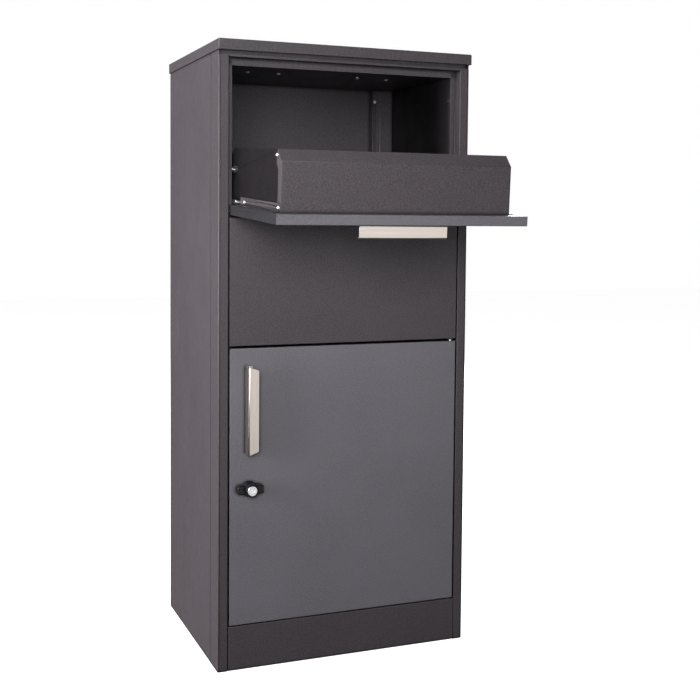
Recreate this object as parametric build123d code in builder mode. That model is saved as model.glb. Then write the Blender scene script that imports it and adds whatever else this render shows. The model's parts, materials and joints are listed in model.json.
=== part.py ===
"""Free-standing parcel drop box with a tilting tray flap above a locker door.

Millimetres, +Z up.  X runs to the right, Y from the front to the back, and the origin is
the centre of the cabinet's footprint on the floor.  The flap is drawn fully open and the
door closed, which is how the joints rest.
"""

from build123d import *
import os
from math import cos, radians, sin

os.makedirs("parts", exist_ok=True)

# ---------------------------------------------------------------- driving dimensions
HEIGHT = 1000.0  # floor to the top of the lid
WIDTH = 434.0  # over the side panels
DEPTH = 335.0  # front face of the posts to the rear edge of the side panels
SHEET = 1.2  # sheet steel throughout
BEND = 1.6  # outer radius of a bend
FIT = 0.05  # radial clearance of a running or locating fit

# Front frame
POST_FACE = 16.5  # width of a post's front face
POST_TOP = 977.0
SEAM = 46.0  # from the front face back to the seam in the side
SEAM_GAP = 2.2  # open groove at the seam
JOINT_WIDTH = 1.5  # of the line down the face of each front post, beside its outer corner
JOINT_DEPTH = 0.8
LAP = 26.0  # how far the post runs on behind the side panel
JOGGLE = SHEET + 0.15  # step that takes the lap behind the side panel
REBATE = 17.0  # depth of the recess that the door and flap close into
STOP_WIDTH = 9.5  # visible width of the stop flange behind them
RAIL_BOTTOM = 973.5
RAIL_STOP_BOTTOM = 962.0
NECK = 7.0  # set-back of the neck under the lid
PLINTH_TOP = 72.0
PLINTH_STOP_TOP = 84.0
PLINTH_SEAM = 0.5  # plinth to post

# Lid, roof and walls
LID_DEPTH = 17.0
LID_SIDE = 2.0
LID_FRONT = 6.0
LID_BACK = 1.5
WALL_TOP = 992.0
ROOF_Z = 970.0
ROOF_FLANGE = 20.0
REAR_LIP = 15.0
REAR_POST_FACE = 41.0
REAR_POST_STEP = 25.0
REAR_POST_DEPTH = 20.0
BASE_THICKNESS = 1.5
BASE_FLANGE = 15.0

# Door and fixed panel
LEAF_GAP = 2.3  # door or flap to post
LEAF_THICKNESS = 15.0
DOOR_BOTTOM = 73.5
DOOR_TOP = 517.5
PANEL_BOTTOM = 521.4
PANEL_TOP = 723.5
PANEL_GAP = 1.7
PANEL_LIP = 12.0
HINGE_INSET = 7.0  # door pivot in from the door's hinged edge
PIVOT_BACK = 6.0  # pivots behind the front face
PIN_RADIUS = 2.5
BUSH_RADIUS = 3.6
BUSH_FLANGE_RADIUS = 5.2
BUSH_FLANGE = 1.0

# Flap and tray, measured from the flap's pivot: forward along the open flap, and inward
# (upward while it is open)
PIVOT_HEIGHT = 734.0
DROOP = 3.3  # degrees past level when the flap is open
FLAP_REACH = 237.5
FLAP_HEEL = 7.0
FLAP_OUTER = -PIVOT_BACK
FLAP_INNER = FLAP_OUTER + LEAF_THICKNESS
PLATE_REACH = 208.0
PLATE_TOP = 82.0
PLATE_LIP = 16.5  # the lip leans back by this much and rises by as much
PLATE_INSET = 15.5  # plate in from each side of the flap
PLATE_FOOT = 18.0
TRAY_TOP = 98.0
BAFFLE_REACH = 186.0  # behind the pivot
BAFFLE_INNER = FLAP_INNER + 3.5
BAFFLE_HEM = 10.0
ANGLE_LEG = 13.5
ANGLE_FOOT = 10.0
ANGLE_REAR = 8.0
STOP_BOLT_INNER = 64.5
STOP_BOLT_RADIUS = 3.5
STOP_BOLT_REST = 0.15  # gap to the stop flange that the bolt comes to rest on

# Handles, the same bent strip twice
HANDLE_LENGTH = 140.0
HANDLE_SHEET = 1.6
HANDLE_BASE = 12.0
HANDLE_STAND = 20.0
HANDLE_LIP = 17.5
HANDLE_TAPER = 5.5
HANDLE_DOOR_X = -173.2
HANDLE_DOOR_Z = 419.5
HANDLE_FLAP_REACH = 226.5

# Lock
LOCK_X = -166.4
LOCK_Z = 293.0
SLEEVE_RADIUS = 9.0
SPINDLE_RADIUS = 4.5
BARREL_RADIUS = 10.0
PLUG_RADIUS = 8.0
WING_SPAN = 43.0
WING_HEIGHT = 13.5

# Small fasteners
SCREW_RADIUS = 2.0
SCREW_HEAD_RADIUS = 3.6
SCREW_HEAD = 2.2
BOLT_RADIUS = 2.5

# Holes for fixing the box to a floor or a wall
FLOOR_HOLES = (300.0, 200.0)
FLOOR_HOLE_RADIUS = 5.5
WALL_HOLES = (260.0, 550.0)
WALL_HOLE_RADIUS = 4.5
WALL_HOLES_Z = 525.0

# ---------------------------------------------------------------- derived places
FRONT = -DEPTH / 2
BACK = DEPTH / 2
HALF = WIDTH / 2
INSIDE = HALF - SHEET
RETURN_X = HALF - POST_FACE
STOP_Y = FRONT + REBATE
STOP_TIP = RETURN_X - STOP_WIDTH
SEAM_Y = FRONT + SEAM
LAP_Y = SEAM_Y + LAP
ROOF_HALF = HALF - JOGGLE - SHEET - 2 * FIT
LEAF_HALF = RETURN_X - LEAF_GAP
HINGE_X = LEAF_HALF - HINGE_INSET
PIVOT_Y = FRONT + PIVOT_BACK
PLATE_HALF = LEAF_HALF - PLATE_INSET
TRAY_HALF = PLATE_HALF - SHEET - FIT
PANEL_HALF = RETURN_X - PANEL_GAP
LEAF_BACK_Y = FRONT + LEAF_THICKNESS
BACK_PANEL_Y = BACK - SHEET - FIT
BASE_FRONT = STOP_Y + SHEET + FIT
BASE_BACK = BACK - SHEET - FIT

FORWARD = Vector(0, -cos(radians(DROOP)), -sin(radians(DROOP)))
INWARD = Vector(0, -sin(radians(DROOP)), cos(radians(DROOP)))
PIVOT = Vector(0, PIVOT_Y, PIVOT_HEIGHT)

# The stop bolt lies just behind the stop flange while the flap is open
STOP_BOLT_BACK = (STOP_Y + SHEET + STOP_BOLT_REST + STOP_BOLT_RADIUS - PIVOT_Y
                  + STOP_BOLT_INNER * sin(radians(DROOP))) / cos(radians(DROOP))

HANDLE_SCREW_SPOTS = [(HANDLE_BASE * 0.6, end * HANDLE_LENGTH / 3) for end in (-1, 1)]
STUD_HEIGHTS = (120.0, 390.0, 660.0, 928.0)
PANEL_SCREW_SPOTS = [(side * (STOP_TIP + 4.0), z) for side in (-1, 1) for z in (560.0, 680.0)]
LID_RAIL_X = 100.0
LID_SCREW_SPOTS = ((LID_RAIL_X - 27.5, -22.0), (LID_RAIL_X + 27.5, -22.0))
REAR_SCREW_SPOTS = [(INSIDE - REAR_POST_FACE + 4.0, z) for z in (60.0, 400.0, 948.0)]
TRAY_SCREW_SPOTS = ((32.0, 15.5), (199.0, 16.0), (190.5, 90.0), (-60.0, 20.0), (-150.0, 20.0))


# ---------------------------------------------------------------- planes and profiles
def flap_section(x=0.0):
    """Plane across the flap: local x runs forward, local y inward, and its normal is -X."""
    return Plane(origin=PIVOT + Vector(x, 0, 0), x_dir=FORWARD, z_dir=(-1, 0, 0))


def flap_face(inward):
    """Plane level with the flap: local x is X, local y runs back, and its normal is inward."""
    return Plane(origin=PIVOT + INWARD * inward, x_dir=(1, 0, 0), z_dir=INWARD)


def flap_cross(forward):
    """Plane facing forward out of the flap: local x is X and local y is inward."""
    return Plane(origin=PIVOT + FORWARD * forward, x_dir=(1, 0, 0), z_dir=FORWARD)


def front_plane(y):
    """Upright plane facing the front: local x is X and local y is Z."""
    return Plane.XZ.offset(-y)


def folded(points, side, thickness=SHEET, bend=BEND):
    """Outline of a sheet bent at each point between the first and the last."""
    with BuildSketch() as outline:
        with BuildLine():
            FilletPolyline(*points, radius=bend)
            offset(amount=thickness, side=side)
        make_face()
    return outline.sketch


def polygon(points):
    """Straight-sided face through the points."""
    with BuildSketch() as outline:
        with BuildLine():
            Polyline(*points, close=True)
        make_face()
    return outline.sketch


# ---------------------------------------------------------------- lid and roof
with BuildPart() as lid:
    with BuildSketch(Plane.XY.offset(HEIGHT - LID_DEPTH)):
        with Locations((0, (LID_BACK - LID_FRONT) / 2)):
            Rectangle(WIDTH + 2 * LID_SIDE, DEPTH + LID_FRONT + LID_BACK)
    extrude(amount=LID_DEPTH)
    fillet(lid.edges().filter_by(Axis.Z), radius=BEND)
    fillet(lid.faces().sort_by(Axis.Z)[-1].edges(), radius=BEND - 0.1)
    with BuildSketch(Plane.XY.offset(HEIGHT - LID_DEPTH)):
        with Locations((0, (LID_BACK - LID_FRONT) / 2)):
            Rectangle(WIDTH + 2 * (LID_SIDE - SHEET), DEPTH + LID_FRONT + LID_BACK - 2 * SHEET)
    extrude(amount=LID_DEPTH - SHEET, mode=Mode.SUBTRACT)

# Two channels stiffen the lid, and the screws that come up through the roof hold them
with BuildPart() as lid_rail_left:
    with BuildSketch(Plane.XZ.offset(-(BACK - 45))):
        with Locations((-LID_RAIL_X, 0)):
            add(folded([(-35, HEIGHT - SHEET), (-35, ROOF_Z + SHEET), (35, ROOF_Z + SHEET),
                        (35, HEIGHT - SHEET)], Side.LEFT))
    extrude(amount=DEPTH - 90)
    with BuildSketch(Plane.XY.offset(ROOF_Z)):
        with Locations(*[(-x, y) for x, y in LID_SCREW_SPOTS]):
            Circle(BOLT_RADIUS + FIT)
    extrude(amount=2 * SHEET + FIT, mode=Mode.SUBTRACT)

with BuildPart() as lid_rail_right:
    mirror(lid_rail_left.part, about=Plane.YZ)

with BuildPart() as roof_panel:
    with BuildSketch(Plane.XY.offset(ROOF_Z)):
        with Locations((0, (STOP_Y + 1.4 + BACK_PANEL_Y - SHEET) / 2)):
            Rectangle(2 * ROOF_HALF, BACK_PANEL_Y - SHEET - STOP_Y - 1.5)
    extrude(amount=ROOF_FLANGE)
    with BuildSketch(Plane.XY.offset(ROOF_Z + SHEET)):
        with Locations((0, (STOP_Y + 1.4 + BACK_PANEL_Y - SHEET) / 2)):
            Rectangle(2 * (ROOF_HALF - SHEET), BACK_PANEL_Y - 3 * SHEET - STOP_Y - 1.5)
    extrude(amount=ROOF_FLANGE, mode=Mode.SUBTRACT)
    with BuildSketch(Plane.XY.offset(ROOF_Z)):
        with Locations(*[(side * x, y) for side in (-1, 1) for x, y in LID_SCREW_SPOTS]):
            Circle(BOLT_RADIUS + FIT)
    extrude(amount=SHEET, mode=Mode.SUBTRACT)

with BuildPart() as lid_screws:
    with BuildSketch(Plane.XY.offset(ROOF_Z - FIT)):
        with Locations(*[(side * x, y) for side in (-1, 1) for x, y in LID_SCREW_SPOTS]):
            Circle(SCREW_HEAD_RADIUS)
    extrude(amount=-SCREW_HEAD)
    fillet(lid_screws.faces().group_by(Axis.Z)[0].edges(), radius=1.0)
    with BuildSketch(Plane.XY.offset(ROOF_Z - FIT)):
        with Locations(*[(side * x, y) for side in (-1, 1) for x, y in LID_SCREW_SPOTS]):
            Circle(BOLT_RADIUS)
    extrude(amount=6)

# ---------------------------------------------------------------- front frame
POST_PATH = [
    (-HALF + JOGGLE, LAP_Y),
    (-HALF + JOGGLE, SEAM_Y + JOGGLE),
    (-HALF, SEAM_Y),
    (-HALF, FRONT),
    (-RETURN_X, FRONT),
    (-RETURN_X, STOP_Y),
    (-STOP_TIP, STOP_Y),
]

with BuildPart() as front_post_left:
    with BuildSketch():
        add(folded(POST_PATH, Side.LEFT))
    extrude(amount=POST_TOP - SHEET - FIT)
    # Only the side of the post runs on up, inside the lid
    with BuildSketch(Plane.XY.offset(POST_TOP - SHEET - FIT)):
        add(folded(POST_PATH[:3] + [(-HALF, FRONT + BEND)], Side.LEFT))
    extrude(amount=WALL_TOP - POST_TOP + SHEET + FIT)
    # The joint line between the post's face and its side
    with BuildSketch():
        with Locations((-HALF + BEND + JOINT_WIDTH / 2, FRONT)):
            Rectangle(JOINT_WIDTH, 2 * JOINT_DEPTH)
    extrude(amount=POST_TOP, mode=Mode.SUBTRACT)
    # Holes for the side panel's studs and, in the return, for the flap's bush
    with BuildSketch(Plane.YZ.offset(-HALF)):
        with Locations(*[(SEAM_Y + LAP / 2, z) for z in STUD_HEIGHTS]):
            Circle(SCREW_RADIUS + FIT)
    extrude(amount=3 * SHEET, mode=Mode.SUBTRACT)
    with BuildSketch(Plane.YZ.offset(-RETURN_X + SHEET)):
        with Locations((PIVOT_Y, PIVOT_HEIGHT)):
            Circle(BUSH_RADIUS + FIT)
    extrude(amount=-3 * SHEET, mode=Mode.SUBTRACT)
    # Holes in the stop flange for the screws of the fixed panel
    with BuildSketch(front_plane(STOP_Y + 2 * SHEET)):
        with Locations(*PANEL_SCREW_SPOTS[:2]):
            Circle(SCREW_RADIUS + FIT)
    extrude(amount=3 * SHEET, mode=Mode.SUBTRACT)

with BuildPart() as front_post_right:
    mirror(front_post_left.part, about=Plane.YZ)

RAIL_PATH = [
    (STOP_Y, RAIL_STOP_BOTTOM),
    (STOP_Y, RAIL_BOTTOM),
    (FRONT, RAIL_BOTTOM),
    (FRONT, POST_TOP),
    (FRONT + NECK, POST_TOP),
    (FRONT + NECK, WALL_TOP),
]

with BuildPart() as top_rail:
    with BuildSketch(Plane.YZ):
        add(folded(RAIL_PATH, Side.RIGHT, bend=1.3))
    extrude(amount=STOP_TIP - FIT, both=True)
    # The return meets the posts, and the ledge and neck run on over them
    with BuildSketch(Plane.YZ):
        add(folded(RAIL_PATH[2:], Side.RIGHT, bend=1.3))
        with Locations((FRONT + REBATE / 2, RAIL_BOTTOM + SHEET / 2)):
            Rectangle(REBATE - 2 * BEND, SHEET)
    extrude(amount=RETURN_X - FIT, both=True)
    with BuildSketch(Plane.YZ):
        with Locations((FRONT + (NECK + SHEET) / 2, POST_TOP - SHEET / 2)):
            Rectangle(NECK + SHEET, SHEET)
        with Locations((FRONT + NECK + SHEET / 2, (POST_TOP + WALL_TOP) / 2)):
            Rectangle(SHEET, WALL_TOP - POST_TOP)
    extrude(amount=INSIDE - JOGGLE, both=True)

with BuildPart() as plinth:
    with BuildSketch(Plane.YZ):
        add(folded([(STOP_Y + SHEET, 0), (FRONT, 0), (FRONT, PLINTH_TOP), (STOP_Y, PLINTH_TOP),
                    (STOP_Y, PLINTH_STOP_TOP)], Side.RIGHT))
    extrude(amount=STOP_TIP - FIT, both=True)
    with BuildSketch(Plane.YZ):
        add(folded([(STOP_Y - BEND, 0), (FRONT, 0), (FRONT, PLINTH_TOP),
                    (STOP_Y - BEND, PLINTH_TOP)], Side.RIGHT))
    extrude(amount=RETURN_X - PLINTH_SEAM, both=True)
    with BuildSketch(Plane.XY.offset(PLINTH_TOP)):
        with Locations((HINGE_X, PIVOT_Y)):
            Circle(BUSH_RADIUS + FIT)
    extrude(amount=-3 * SHEET, mode=Mode.SUBTRACT)

# ---------------------------------------------------------------- sides, back and base
with BuildPart() as side_panel_left:
    with BuildSketch():
        add(folded([(-HALF, SEAM_Y + SEAM_GAP), (-HALF, BACK), (-HALF + REAR_LIP, BACK)], Side.RIGHT))
    extrude(amount=WALL_TOP)

with BuildPart() as side_panel_right:
    mirror(side_panel_left.part, about=Plane.YZ)

with BuildPart() as side_studs:
    # Studs welded to the side panels, with the nuts that clamp the posts' laps to them
    with BuildSketch(Plane.YZ.offset(-INSIDE + 0.02)):
        with Locations(*[(SEAM_Y + LAP / 2, z) for z in STUD_HEIGHTS]):
            Circle(SCREW_RADIUS)
    extrude(amount=8)
    with BuildSketch(Plane.YZ.offset(-HALF + JOGGLE + SHEET + 0.02)):
        with Locations(*[(SEAM_Y + LAP / 2, z) for z in STUD_HEIGHTS]):
            RegularPolygon(radius=SCREW_HEAD_RADIUS, side_count=6)
    extrude(amount=3)
    mirror(about=Plane.YZ)

with BuildPart() as rear_post_left:
    with BuildSketch(Plane.XY.offset(BASE_FLANGE + FIT)):
        add(folded([(-INSIDE + FIT, BACK - REAR_POST_DEPTH),
                    (-INSIDE + REAR_POST_STEP, BACK - REAR_POST_DEPTH),
                    (-INSIDE + REAR_POST_STEP + JOGGLE, BACK - REAR_POST_DEPTH + JOGGLE),
                    (-INSIDE + REAR_POST_FACE, BACK - REAR_POST_DEPTH + JOGGLE),
                    (-INSIDE + REAR_POST_FACE, BACK_PANEL_Y - SHEET - FIT)], Side.LEFT))
    extrude(amount=ROOF_Z - BASE_FLANGE - 2 * FIT)
    with BuildSketch(front_plane(BACK)):
        with Locations(*[(-x, z) for x, z in REAR_SCREW_SPOTS]):
            Circle(SCREW_RADIUS - 0.5 + FIT)
    extrude(amount=REAR_POST_DEPTH, mode=Mode.SUBTRACT)

with BuildPart() as rear_post_right:
    mirror(rear_post_left.part, about=Plane.YZ)

with BuildPart() as rear_post_screws:
    with BuildSketch(front_plane(BACK - REAR_POST_DEPTH + JOGGLE - 0.02)):
        with Locations(*REAR_SCREW_SPOTS):
            Circle(SCREW_HEAD_RADIUS - 0.6)
    extrude(amount=1.8)
    fillet(rear_post_screws.faces().sort_by(Axis.Y)[0].edges(), radius=0.8)
    with BuildSketch(front_plane(BACK - REAR_POST_DEPTH + JOGGLE - 1.0)):
        with Locations(*REAR_SCREW_SPOTS):
            Circle(SCREW_RADIUS - 0.5)
    extrude(amount=-6)
    mirror(about=Plane.YZ)

with BuildPart() as back_panel:
    with BuildSketch(front_plane(BACK_PANEL_Y)):
        with Locations((0, (BASE_THICKNESS + WALL_TOP) / 2)):
            Rectangle(2 * (INSIDE - BEND / 2), WALL_TOP - BASE_THICKNESS - FIT)
        with Locations((0, WALL_HOLES_Z)):
            with GridLocations(*WALL_HOLES, 2, 2):
                Circle(WALL_HOLE_RADIUS, mode=Mode.SUBTRACT)
    extrude(amount=SHEET)

with BuildPart() as base_panel:
    with BuildSketch():
        with Locations((0, (BASE_FRONT + BASE_BACK) / 2)):
            Rectangle(2 * (INSIDE - 2 * JOGGLE), BASE_BACK - BASE_FRONT)
    extrude(amount=BASE_FLANGE)
    # Upturned along the sides and front, flat at the back where the back panel stands on it
    with BuildSketch(Plane.XY.offset(BASE_THICKNESS)):
        with Locations((0, (BASE_FRONT + BASE_THICKNESS + BACK) / 2)):
            Rectangle(2 * (INSIDE - 2 * JOGGLE - BASE_THICKNESS), BACK - BASE_FRONT - BASE_THICKNESS)
        with Locations((0, BACK)):
            Rectangle(WIDTH, 12)
    extrude(amount=BASE_FLANGE, mode=Mode.SUBTRACT)
    with BuildSketch():
        with GridLocations(*FLOOR_HOLES, 2, 2):
            Circle(FLOOR_HOLE_RADIUS)
    extrude(amount=BASE_THICKNESS, mode=Mode.SUBTRACT)

# ---------------------------------------------------------------- fixed middle panel
with BuildPart() as middle_panel:
    with BuildSketch(front_plane(STOP_Y - FIT)):
        with Locations((0, (PANEL_BOTTOM + PANEL_TOP) / 2)):
            Rectangle(2 * PANEL_HALF, PANEL_TOP - PANEL_BOTTOM)
    extrude(amount=REBATE - FIT)
    fillet(middle_panel.faces().sort_by(Axis.Y)[0].edges(), radius=BEND - 0.5)
    with BuildSketch(front_plane(STOP_Y)):
        with Locations((0, (PANEL_BOTTOM + PANEL_TOP) / 2)):
            Rectangle(2 * (PANEL_HALF - SHEET), PANEL_TOP - PANEL_BOTTOM - 2 * SHEET)
    extrude(amount=REBATE - SHEET, mode=Mode.SUBTRACT)
    # Return lips that lie on the posts' stop flanges
    with BuildSketch(front_plane(STOP_Y - FIT)):
        with Locations(*[(side * (PANEL_HALF - PANEL_LIP / 2), (PANEL_BOTTOM + PANEL_TOP) / 2)
                         for side in (-1, 1)]):
            Rectangle(PANEL_LIP, PANEL_TOP - PANEL_BOTTOM)
        with Locations(*PANEL_SCREW_SPOTS):
            Circle(SCREW_RADIUS + FIT, mode=Mode.SUBTRACT)
    extrude(amount=SHEET)
    with BuildSketch(Plane.XY.offset(PANEL_BOTTOM)):
        with Locations((HINGE_X, PIVOT_Y)):
            Circle(BUSH_RADIUS + FIT)
    extrude(amount=SHEET, mode=Mode.SUBTRACT)

with BuildPart() as panel_screws:
    with BuildSketch(front_plane(STOP_Y + SHEET + SCREW_HEAD)):
        with Locations(*PANEL_SCREW_SPOTS):
            Circle(SCREW_HEAD_RADIUS)
    extrude(amount=SCREW_HEAD - 0.02)
    fillet(panel_screws.faces().group_by(Axis.Y)[-1].edges(), radius=0.9)
    with BuildSketch(front_plane(STOP_Y + SHEET + 1.0)):
        with Locations(*PANEL_SCREW_SPOTS):
            Circle(SCREW_RADIUS)
    extrude(amount=7)

# Soft stops that the flap and the door close against
with BuildPart() as bumpers:
    with BuildSketch(front_plane(STOP_Y - 0.05)):
        for z in (PLINTH_STOP_TOP + 6, DOOR_TOP - 20, RAIL_STOP_BOTTOM + 5):
            for x in (-RETURN_X + STOP_WIDTH / 2, RETURN_X - STOP_WIDTH / 2):
                if x < 0 or z > DOOR_TOP:
                    with Locations((x, z)):
                        Circle(3.6)
    extrude(amount=1.5)
    fillet(bumpers.faces().group_by(Axis.Y)[0].edges(), radius=0.8)

# ---------------------------------------------------------------- pivots in the frame
with BuildPart() as flap_bushes:
    with BuildSketch(Plane.YZ.offset(-RETURN_X + 0.02)):
        with Locations((PIVOT_Y, PIVOT_HEIGHT)):
            Circle(BUSH_FLANGE_RADIUS)
    extrude(amount=BUSH_FLANGE)
    with BuildSketch(Plane.YZ.offset(-RETURN_X + 0.02)):
        with Locations((PIVOT_Y, PIVOT_HEIGHT)):
            Circle(BUSH_RADIUS)
    extrude(amount=-6)
    with BuildSketch(Plane.YZ.offset(-RETURN_X + 2)):
        with Locations((PIVOT_Y, PIVOT_HEIGHT)):
            Circle(PIN_RADIUS + FIT)
    extrude(amount=-9, mode=Mode.SUBTRACT)
    mirror(about=Plane.YZ)

with BuildPart() as door_bushes:
    # The upper bush hangs from the fixed panel and the lower one stands on the plinth
    for face_z, away in ((PANEL_BOTTOM, -1), (PLINTH_TOP, 1)):
        with BuildSketch(Plane.XY.offset(face_z + 0.02 * away)):
            with Locations((HINGE_X, PIVOT_Y)):
                Circle(BUSH_FLANGE_RADIUS)
        extrude(amount=BUSH_FLANGE * away)
        with BuildSketch(Plane.XY.offset(face_z + 0.02 * away)):
            with Locations((HINGE_X, PIVOT_Y)):
                Circle(BUSH_RADIUS)
        extrude(amount=-6 * away)
        with BuildSketch(Plane.XY.offset(face_z + 2 * away)):
            with Locations((HINGE_X, PIVOT_Y)):
                Circle(PIN_RADIUS + FIT)
        extrude(amount=-9 * away, mode=Mode.SUBTRACT)

# ---------------------------------------------------------------- door
with BuildPart() as door_panel:
    with BuildSketch(front_plane(LEAF_BACK_Y)):
        with Locations((0, (DOOR_BOTTOM + DOOR_TOP) / 2)):
            Rectangle(2 * LEAF_HALF, DOOR_TOP - DOOR_BOTTOM)
    extrude(amount=LEAF_THICKNESS)
    fillet(door_panel.faces().sort_by(Axis.Y)[0].edges(), radius=BEND - 0.5)
    with BuildSketch(front_plane(LEAF_BACK_Y)):
        with Locations((0, (DOOR_BOTTOM + DOOR_TOP) / 2)):
            Rectangle(2 * (LEAF_HALF - SHEET), DOOR_TOP - DOOR_BOTTOM - 2 * SHEET)
    extrude(amount=LEAF_THICKNESS - SHEET, mode=Mode.SUBTRACT)
    # Clear the stop flange behind the hinged edge as the door swings
    with BuildSketch(Plane.XY.offset(DOOR_BOTTOM)):
        add(polygon([(LEAF_HALF, PIVOT_Y + 2), (HINGE_X + 3, LEAF_BACK_Y),
                     (LEAF_HALF, LEAF_BACK_Y)]))
    extrude(amount=DOOR_TOP - DOOR_BOTTOM, mode=Mode.SUBTRACT)
    # Lock, handle screws and hinge pins
    with BuildSketch(front_plane(FRONT + 2 * SHEET)):
        with Locations((LOCK_X, LOCK_Z)):
            Circle(SLEEVE_RADIUS + FIT)
        with Locations(*[(HANDLE_DOOR_X + x, HANDLE_DOOR_Z + z) for x, z in HANDLE_SCREW_SPOTS]):
            Circle(SCREW_RADIUS + FIT)
    extrude(amount=4 * SHEET, mode=Mode.SUBTRACT)
    with BuildSketch(Plane.XY.offset(DOOR_BOTTOM)):
        with Locations((HINGE_X, PIVOT_Y)):
            Circle(PIN_RADIUS + FIT)
    extrude(amount=DOOR_TOP - DOOR_BOTTOM, mode=Mode.SUBTRACT)

with BuildPart() as door_hinge_pins:
    for face_z, out in ((DOOR_TOP, 1), (DOOR_BOTTOM, -1)):
        with BuildSketch(Plane.XY.offset(face_z - (SHEET + 0.02) * out)):
            with Locations((HINGE_X, PIVOT_Y)):
                RegularPolygon(radius=4.5, side_count=6)
        extrude(amount=-3 * out)
        with BuildSketch(Plane.XY.offset(face_z - (SHEET + 0.02) * out)):
            with Locations((HINGE_X, PIVOT_Y)):
                Circle(PIN_RADIUS)
        extrude(amount=(SHEET + (8.5 if out > 0 else 6.0)) * out)

# Inner sheet, set inside the folded edges and clear of the hinged corner
with BuildPart() as door_inner_panel:
    inner_left = -LEAF_HALF + SHEET + FIT
    inner_right = HINGE_X - 1.0
    with BuildSketch(front_plane(LEAF_BACK_Y)):
        with Locations(((inner_left + inner_right) / 2, (DOOR_BOTTOM + DOOR_TOP) / 2)):
            RectangleRounded(inner_right - inner_left, DOOR_TOP - DOOR_BOTTOM - 2 * (SHEET + FIT), 1.5)
        with Locations((LOCK_X, LOCK_Z)):
            Circle(SLEEVE_RADIUS + 5, mode=Mode.SUBTRACT)
    extrude(amount=SHEET)
    # Two pressed ribs stiffen it
    with BuildSketch(front_plane(LEAF_BACK_Y - SHEET)):
        with Locations((-70, (DOOR_BOTTOM + DOOR_TOP) / 2), (90, (DOOR_BOTTOM + DOOR_TOP) / 2)):
            SlotOverall(340, 34, rotation=90)
    extrude(amount=3)
    with BuildSketch(front_plane(LEAF_BACK_Y)):
        with Locations((-70, (DOOR_BOTTOM + DOOR_TOP) / 2), (90, (DOOR_BOTTOM + DOOR_TOP) / 2)):
            SlotOverall(340 - 2 * SHEET, 34 - 2 * SHEET, rotation=90)
    extrude(amount=3, mode=Mode.SUBTRACT)


# ---------------------------------------------------------------- handles
DOOR_PULL = Plane(origin=(HANDLE_DOOR_X, FRONT - 0.02, HANDLE_DOOR_Z), x_dir=(1, 0, 0), z_dir=(0, -1, 0))
FLAP_PULL = Plane(origin=PIVOT + FORWARD * HANDLE_FLAP_REACH + INWARD * (FLAP_OUTER - 0.02),
                  x_dir=FORWARD * -1, z_dir=INWARD * -1)


def pull(leaf):
    """Bent-strip handle: local x from its web to its lip's edge, y along it, z off the leaf."""
    half = HANDLE_LENGTH / 2
    with BuildPart() as strip:
        with BuildSketch(Plane(origin=leaf.origin, x_dir=leaf.x_dir, z_dir=leaf.y_dir * -1)):
            add(folded([(HANDLE_BASE, 0), (0, 0), (0, HANDLE_STAND), (HANDLE_LIP, HANDLE_STAND)],
                       Side.RIGHT, HANDLE_SHEET, 2.2))
        extrude(amount=half, both=True)
        # The lip tapers at both ends
        with BuildSketch(leaf.offset(HANDLE_STAND - 2 * HANDLE_SHEET)):
            for end in (-1, 1):
                add(polygon([(2.2, end * (half + 1)), (2.2, end * half),
                             (HANDLE_LIP - 2, end * (half - HANDLE_TAPER + 1)),
                             (HANDLE_LIP + 1, end * (half - HANDLE_TAPER - 2)),
                             (HANDLE_LIP + 1, end * (half + 1))]))
        extrude(amount=3 * HANDLE_SHEET, mode=Mode.SUBTRACT)
        with BuildSketch(leaf):
            with Locations(*HANDLE_SCREW_SPOTS):
                Circle(SCREW_RADIUS + FIT)
        extrude(amount=HANDLE_SHEET, mode=Mode.SUBTRACT)
    return strip.part


def pull_screws(leaf):
    """Two screws that come through the leaf from inside and end in the handle's base."""
    with BuildPart() as pair:
        with BuildSketch(leaf.offset(-SHEET - 0.04)):
            with Locations(*HANDLE_SCREW_SPOTS):
                Circle(SCREW_HEAD_RADIUS)
        extrude(amount=-SCREW_HEAD)
        with BuildSketch(leaf.offset(-SHEET - 0.04)):
            with Locations(*HANDLE_SCREW_SPOTS):
                Circle(SCREW_RADIUS)
        extrude(amount=SHEET + HANDLE_SHEET)
    return pair.part


with BuildPart() as door_handle:
    add(pull(DOOR_PULL))

with BuildPart() as door_handle_screws:
    add(pull_screws(DOOR_PULL))

with BuildPart() as flap_handle:
    add(pull(FLAP_PULL))

with BuildPart() as flap_handle_screws:
    add(pull_screws(FLAP_PULL))

# ---------------------------------------------------------------- lock
with BuildPart() as lock_escutcheon:
    # Round plate with a threaded sleeve that runs back through the door's skin
    with BuildSketch(front_plane(FRONT - 0.02)):
        with Locations((LOCK_X, LOCK_Z)):
            Circle(12.4)
    extrude(amount=2.4)
    fillet(lock_escutcheon.faces().sort_by(Axis.Y)[0].edges(), radius=0.8)
    with BuildSketch(front_plane(FRONT - 1.0)):
        with Locations((LOCK_X, LOCK_Z)):
            Circle(SLEEVE_RADIUS)
    extrude(amount=-(LEAF_THICKNESS + 2.5))
    with BuildSketch(front_plane(FRONT - 3.0)):
        with Locations((LOCK_X, LOCK_Z)):
            Circle(SPINDLE_RADIUS + FIT)
    extrude(amount=-(LEAF_THICKNESS + 8.0), mode=Mode.SUBTRACT)

with BuildPart() as lock_nut:
    with BuildSketch(front_plane(FRONT + SHEET + 5.0)):
        with Locations((LOCK_X, LOCK_Z)):
            RegularPolygon(radius=13.5, side_count=6)
            Circle(SLEEVE_RADIUS + FIT, mode=Mode.SUBTRACT)
    extrude(amount=4.95)

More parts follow.
